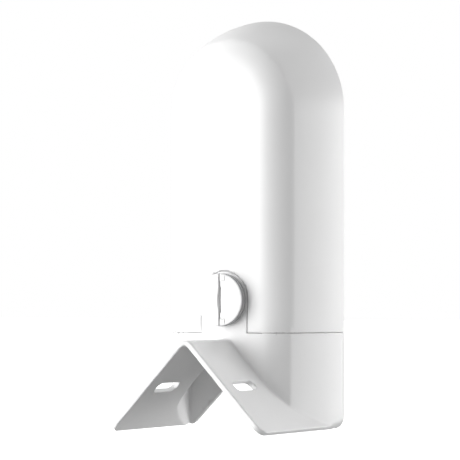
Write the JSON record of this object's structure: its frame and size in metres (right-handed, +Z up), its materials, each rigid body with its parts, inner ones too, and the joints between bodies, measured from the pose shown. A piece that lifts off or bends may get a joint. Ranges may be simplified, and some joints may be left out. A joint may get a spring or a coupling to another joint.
{
  "type": "outdoor weather sensor on saddle bracket",
  "caption": "Arch-shaped white outdoor weather sensor on a moulded inverted-V saddle bracket with strap slots, clamped by a screw with a fold-up handle.",
  "frame": {"origin": "on the ground, under the middle of the whole object's box", "axes": "+X to the right along the flat back face, +Y from the back of the unit to its front, +Z up"},
  "size_m": [0.0672, 0.06, 0.1501],
  "materials": {
    "casing": "satin-gloss injection-moulded white weatherproof plastic",
    "knob": "satin white moulded plastic",
    "rubber": "dark sealing rubber",
    "steel": "plated steel",
    "brass": "machined brass",
    "tray": "matte dark grey plastic",
    "cell": "plain sleeved cell, no lettering",
    "board": "green solder-masked circuit board",
    "chip": "black component package",
    "membrane": "white breathable membrane",
    "ribbon": "grey cable sleeve",
    "lead_red": "red wire insulation",
    "lead_black": "black wire insulation",
    "clear": "clear moulded light guide"
  },
  "bodies": {
    "bracket": {"saddle_bracket": "casing"},
    "screw_washer": {"knob_washer": "rubber"},
    "lock_screw": {"lock_knob": "knob", "lock_stud": "steel"},
    "handle": {"flip_handle": "knob"},
    "sensor_unit": {"rear_housing": "casing", "front_cover": "casing", "cover_gasket": "rubber", "threaded_insert": "brass", "light_pipe": "clear", "main_circuit_board": "board", "radio_shield": "steel", "antenna_wire": "steel", "sensor_board": "board", "humidity_sensor": "chip", "vent_membrane": "membrane", "pairing_switch": "chip", "sensor_cable": "ribbon", "board_screw_1": "steel", "board_screw_2": "steel", "board_screw_3": "steel", "board_screw_4": "steel", "battery_tray": "tray", "battery_cell_left": "cell", "battery_cell_right": "cell", "contact_leaf": "steel", "contact_spring": "steel", "battery_lead_positive": "lead_red", "battery_lead_negative": "lead_black"},
    "door": {"battery_door": "casing", "battery_door_gasket": "rubber", "door_contact": "steel", "door_screw_left": "steel", "door_screw_right": "steel"},
    "button": {"pairing_button": "rubber"}
  },
  "joints": [
    {"name": "lock_screw_travel", "type": "slide", "parent": "bracket", "child": "screw_washer", "axis": [0, -1, 0], "range_m": [0, 0.00508]},
    {"name": "lock_screw_turn", "type": "hinge", "parent": "screw_washer", "child": "lock_screw", "pos_m": [0, -0.002, 0.0472], "axis": [0, -1, 0], "range_deg": [0, 1440]},
    {"name": "handle_flip", "type": "hinge", "parent": "lock_screw", "child": "handle", "pos_m": [0.001, -0.00485, 0.0472], "axis": [0, 0, -1], "range_deg": [0, 90]},
    {"name": "unit_draw", "type": "slide", "parent": "bracket", "child": "sensor_unit", "axis": [0, 1, 0], "range_m": [0, 0.06]},
    {"name": "battery_door_drop", "type": "slide", "parent": "sensor_unit", "child": "door", "axis": [0, 0, -1], "range_m": [0, 0.012]},
    {"name": "pairing_press", "type": "slide", "parent": "sensor_unit", "child": "button", "axis": [0, 0, 1], "range_m": [0, 0.0005], "stiffness_N_per_m": 600}
  ],
  "couplings": [
    {"joint": "lock_screw_turn", "follows": "lock_screw_travel", "rad_per_m": 4947.4}
  ]
}
